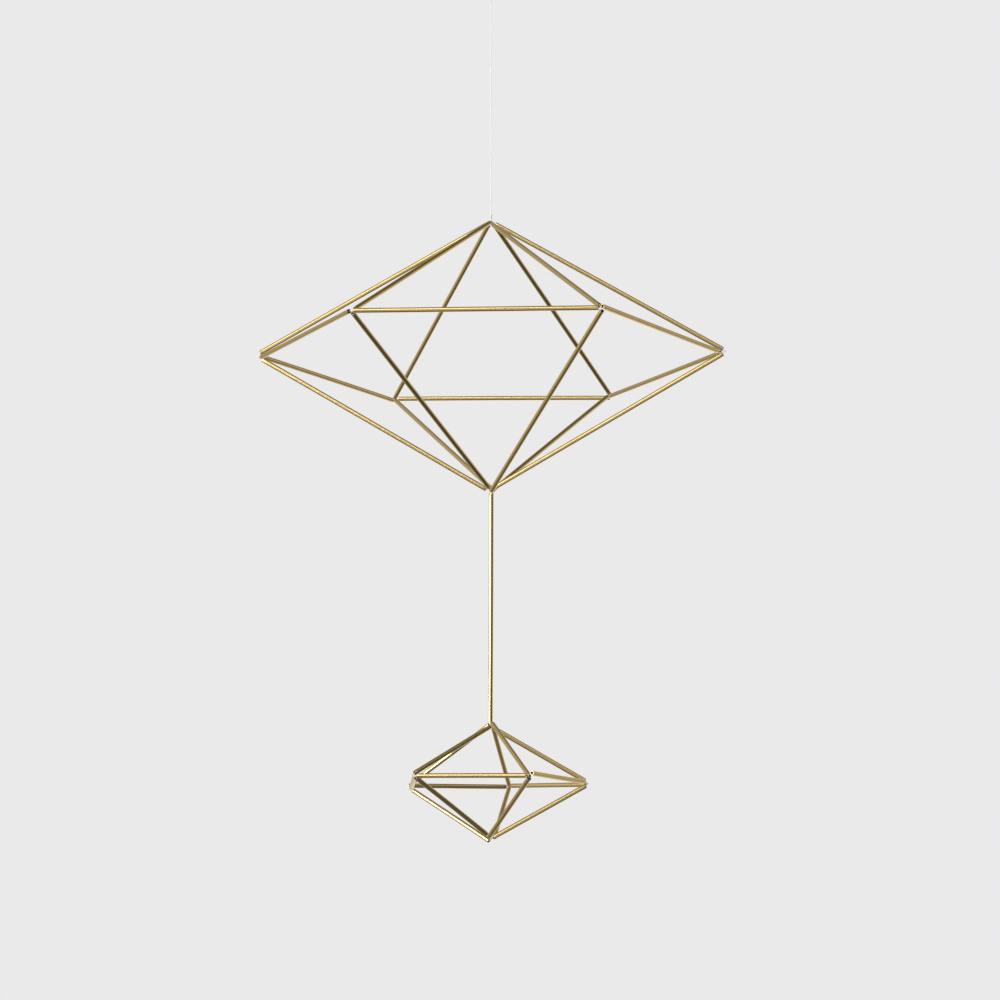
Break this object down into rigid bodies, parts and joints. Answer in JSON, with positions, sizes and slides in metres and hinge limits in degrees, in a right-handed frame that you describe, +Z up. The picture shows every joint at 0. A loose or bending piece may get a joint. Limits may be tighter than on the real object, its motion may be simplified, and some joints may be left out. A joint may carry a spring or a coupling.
{
  "type": "hanging mobile sculpture",
  "caption": "Openwork hanging mobile of thin brass tubes laced with thread: a wide double pyramid with a small one below it on a plumb tube.",
  "frame": {"origin": "inside top of the hanging loop, where a hook bears", "axes": "+Z up along the hanging thread, -Y towards the viewer of the picture, +X to that viewer's right"},
  "size_m": [0.2452, 0.2218, 0.4696],
  "materials": {
    "brass_tube": "raw drawn brass, satin, lightly tarnished",
    "thread": "fine off-white thread, faintly glossy"
  },
  "bodies": {
    "root": {"upper_top_tube_right": "brass_tube", "upper_top_tube_back_right": "brass_tube", "upper_top_tube_back_left": "brass_tube", "upper_top_tube_left": "brass_tube", "upper_top_tube_front_left": "brass_tube", "upper_top_tube_front_right": "brass_tube", "upper_ring_tube_right_back": "brass_tube", "upper_ring_tube_back": "brass_tube", "upper_ring_tube_left_back": "brass_tube", "upper_ring_tube_left_front": "brass_tube", "upper_ring_tube_front": "brass_tube", "upper_ring_tube_right_front": "brass_tube", "upper_bottom_tube_right": "brass_tube", "upper_bottom_tube_back_right": "brass_tube", "upper_bottom_tube_back_left": "brass_tube", "upper_bottom_tube_left": "brass_tube", "upper_bottom_tube_front_left": "brass_tube", "upper_bottom_tube_front_right": "brass_tube", "drop_tube": "brass_tube", "lower_top_tube_right": "brass_tube", "lower_top_tube_back": "brass_tube", "lower_top_tube_back_left": "brass_tube", "lower_top_tube_front_left": "brass_tube", "lower_top_tube_front_right": "brass_tube", "lower_ring_tube_right_back": "brass_tube", "lower_ring_tube_back": "brass_tube", "lower_ring_tube_left": "brass_tube", "lower_ring_tube_front": "brass_tube", "lower_ring_tube_right_front": "brass_tube", "lower_bottom_tube_right": "brass_tube", "lower_bottom_tube_back": "brass_tube", "lower_bottom_tube_back_left": "brass_tube", "lower_bottom_tube_front_left": "brass_tube", "lower_bottom_tube_front_right": "brass_tube", "lacing_thread": "thread", "hanging_thread": "thread", "hanging_loop": "thread"}
  },
  "joints": []
}
